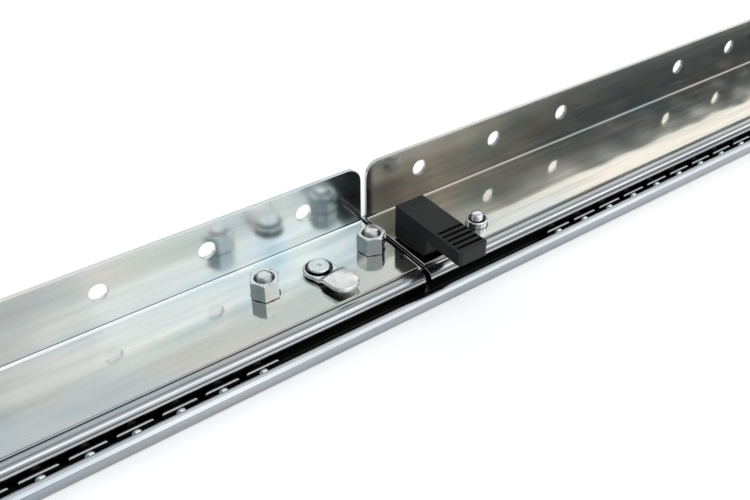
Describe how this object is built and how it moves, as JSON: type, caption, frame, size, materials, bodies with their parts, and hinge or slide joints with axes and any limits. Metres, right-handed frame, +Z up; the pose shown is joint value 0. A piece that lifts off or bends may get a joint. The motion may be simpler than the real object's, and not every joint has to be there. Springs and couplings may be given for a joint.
{
  "type": "cabinet drawer slide",
  "caption": "Two-way ball-bearing slide: flanged carriages run apart along a long rail, with a black lock lever and a swing catch at the middle.",
  "frame": {"origin": "middle of the rail's flat underside: midway along its length, on its centreline, on the face that is screwed down", "axes": "+X along the rail towards the carriage with the lock lever, +Y towards the flanges, +Z up from the mounting face through the decks"},
  "size_m": [0.5, 0.0537, 0.03],
  "materials": {
    "zinc_rail": "bright zinc plate, rolled",
    "zinc_channel": "bright zinc plate, rolled",
    "zinc_plate_left": "bright zinc plate with a pale blue cast",
    "zinc_plate_right": "bright zinc plate with a warm cast",
    "bolt_steel": "bright zinc plate, rolled thread",
    "nut_steel": "bright zinc plate, smooth flats",
    "catch_steel": "satin zinc plate, pressed",
    "rivet_steel": "bright turned rivet and washer",
    "stud_steel": "bright zinc plate, rolled thread and turned collar",
    "block_plastic": "black nylon",
    "lever_plastic": "charcoal moulded plastic with a fine grain",
    "bracket_steel": "plain zinc plate",
    "pin_steel": "ground pin",
    "spring_steel": "drawn spring wire",
    "cage_plastic": "black moulded plastic",
    "ball_chrome": "polished steel ball"
  },
  "bodies": {
    "rail": {"rail": "zinc_rail"},
    "left_carriage": {"left_channel": "zinc_channel", "left_flange_plate": "zinc_plate_left", "left_stop_block": "block_plastic", "left_bolts": "bolt_steel", "left_nuts": "nut_steel", "catch_rivet": "rivet_steel", "catch_washer": "rivet_steel"},
    "catch": {"swing_catch": "catch_steel"},
    "right_carriage": {"right_channel": "zinc_channel", "right_flange_plate": "zinc_plate_right", "right_stop_block": "block_plastic", "right_stud": "stud_steel", "right_collar": "stud_steel", "lever_bracket": "bracket_steel", "lever_pin": "pin_steel", "lever_spring": "spring_steel"},
    "lever": {"lock_lever": "lever_plastic", "lock_pawl": "bracket_steel"},
    "left_cages": {"left_front_cage": "cage_plastic", "left_front_balls": "ball_chrome", "left_rear_cage": "cage_plastic", "left_rear_balls": "ball_chrome"},
    "right_cages": {"right_front_cage": "cage_plastic", "right_front_balls": "ball_chrome", "right_rear_cage": "cage_plastic", "right_rear_balls": "ball_chrome"}
  },
  "joints": [
    {"name": "left_slide", "type": "slide", "parent": "rail", "child": "left_carriage", "axis": [-1, 0, 0], "range_m": [0, 0.15]},
    {"name": "right_slide", "type": "slide", "parent": "rail", "child": "right_carriage", "axis": [1, 0, 0], "range_m": [0, 0.15]},
    {"name": "left_cage_slide", "type": "slide", "parent": "rail", "child": "left_cages", "axis": [-1, 0, 0], "range_m": [0, 0.075]},
    {"name": "right_cage_slide", "type": "slide", "parent": "rail", "child": "right_cages", "axis": [1, 0, 0], "range_m": [0, 0.075]},
    {"name": "catch_swing", "type": "hinge", "parent": "left_carriage", "child": "catch", "pos_m": [-0.0264, -0.0003, 0.0112], "axis": [0, 0, 1], "range_deg": [-35, 35]},
    {"name": "lever_rock", "type": "hinge", "parent": "right_carriage", "child": "lever", "pos_m": [0.00725, -0.0032, 0.0153], "axis": [1, 0, 0], "range_deg": [0, 6.5], "stiffness_Nm_per_rad": 0.3, "springref_deg": -4.58}
  ],
  "couplings": [
    {"joint": "left_cage_slide", "follows": "left_slide", "ratio": 0.5},
    {"joint": "right_cage_slide", "follows": "right_slide", "ratio": 0.5}
  ]
}
